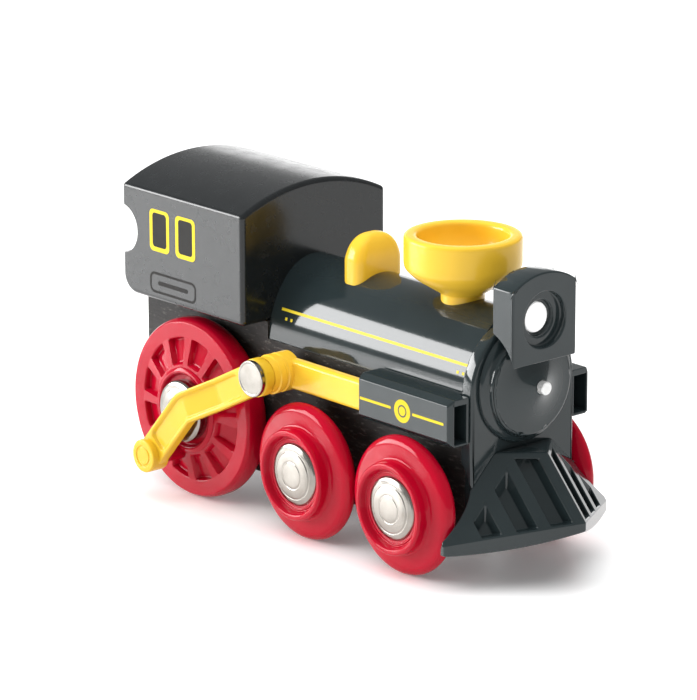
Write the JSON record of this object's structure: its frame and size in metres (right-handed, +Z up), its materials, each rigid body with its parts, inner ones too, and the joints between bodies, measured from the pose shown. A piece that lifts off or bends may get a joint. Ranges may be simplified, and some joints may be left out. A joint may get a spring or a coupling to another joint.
{
  "type": "toy locomotive",
  "caption": "Push-along toy steam locomotive for a wooden railway, with lacquered wooden cab, yellow funnel, dome and connecting rods and red wheels.",
  "frame": {"origin": "middle of the footprint, on the floor under the wheels", "axes": "+X forward to the cowcatcher, +Y to the left side, +Z up"},
  "size_m": [0.0962, 0.0446, 0.0534],
  "materials": {
    "black_stained_wood": "black stain with visible grain, satin",
    "lacquered_wood": "dark grey lacquer over wood, semi-gloss",
    "slate_plastic": "dark slate, high gloss",
    "black_plastic": "black, satin",
    "yellow_plastic": "warm yellow, gloss",
    "lemon_plastic": "lighter yellow, gloss",
    "red_plastic": "bright red, gloss",
    "pale_plastic": "white reflector",
    "pale_steel": "bright rivet",
    "nickel": "nickel-plated steel",
    "bright_steel": "zinc-plated steel"
  },
  "bodies": {
    "frame": {"chassis_block": "black_stained_wood", "cab_block": "lacquered_wood", "boiler_shell": "slate_plastic", "smokebox_plate": "slate_plastic", "smokebox_door": "slate_plastic", "door_rivet": "pale_steel", "headlamp_housing": "slate_plastic", "headlamp_lens": "pale_plastic", "dome": "yellow_plastic", "funnel": "yellow_plastic", "cowcatcher": "slate_plastic", "cylinder_right": "slate_plastic", "cylinder_left": "slate_plastic", "coupling_holder": "black_plastic", "coupling_magnet": "bright_steel", "coupling_screw": "bright_steel", "body_screws": "bright_steel"},
    "front_wheelset": {"front_axle": "bright_steel", "front_wheel_right": "red_plastic", "front_wheel_left": "red_plastic", "front_hub_caps": "nickel"},
    "middle_wheelset": {"middle_axle": "bright_steel", "middle_wheel_right": "red_plastic", "middle_wheel_left": "red_plastic", "middle_hub_caps": "nickel"},
    "rear_wheelset": {"rear_axle": "bright_steel", "rear_wheel_right": "red_plastic", "rear_wheel_left": "red_plastic", "rear_hub_caps": "nickel"},
    "right_crosshead": {"piston_right": "yellow_plastic", "piston_pin_right": "nickel"},
    "left_crosshead": {"piston_left": "yellow_plastic", "piston_pin_left": "nickel"},
    "right_rod": {"rod_right": "lemon_plastic"},
    "left_rod": {"rod_left": "lemon_plastic"}
  },
  "joints": [
    {"name": "front_wheels_spin", "type": "hinge", "parent": "frame", "child": "front_wheelset", "pos_m": [0.02325, 0, 0.0111], "axis": [0, 1, 0], "continuous": true},
    {"name": "middle_wheels_spin", "type": "hinge", "parent": "frame", "child": "middle_wheelset", "pos_m": [0.00025, 0, 0.0111], "axis": [0, 1, 0], "continuous": true},
    {"name": "rear_wheels_spin", "type": "hinge", "parent": "frame", "child": "rear_wheelset", "pos_m": [-0.02855, 0, 0.01495], "axis": [0, 1, 0], "continuous": true},
    {"name": "right_piston_slide", "type": "slide", "parent": "frame", "child": "right_crosshead", "axis": [1, 0, 0], "range_m": [-0.0015, 0.0158]},
    {"name": "left_piston_slide", "type": "slide", "parent": "frame", "child": "left_crosshead", "axis": [1, 0, 0], "range_m": [-0.0015, 0.0158]},
    {"name": "right_rod_swing", "type": "hinge", "parent": "right_crosshead", "child": "right_rod", "pos_m": [-0.00715, -0.0185, 0.0257], "axis": [0, 1, 0], "range_deg": [-2.5, 21.5]},
    {"name": "left_rod_swing", "type": "hinge", "parent": "left_crosshead", "child": "left_rod", "pos_m": [-0.00715, 0.0185, 0.0257], "axis": [0, 1, 0], "range_deg": [-2.5, 21.5]}
  ],
  "couplings": [
    {"joint": "left_piston_slide", "follows": "right_piston_slide", "ratio": 1},
    {"joint": "right_rod_swing", "follows": "right_piston_slide", "rad_per_m": 22.078},
    {"joint": "left_rod_swing", "follows": "right_piston_slide", "rad_per_m": 22.078}
  ]
}
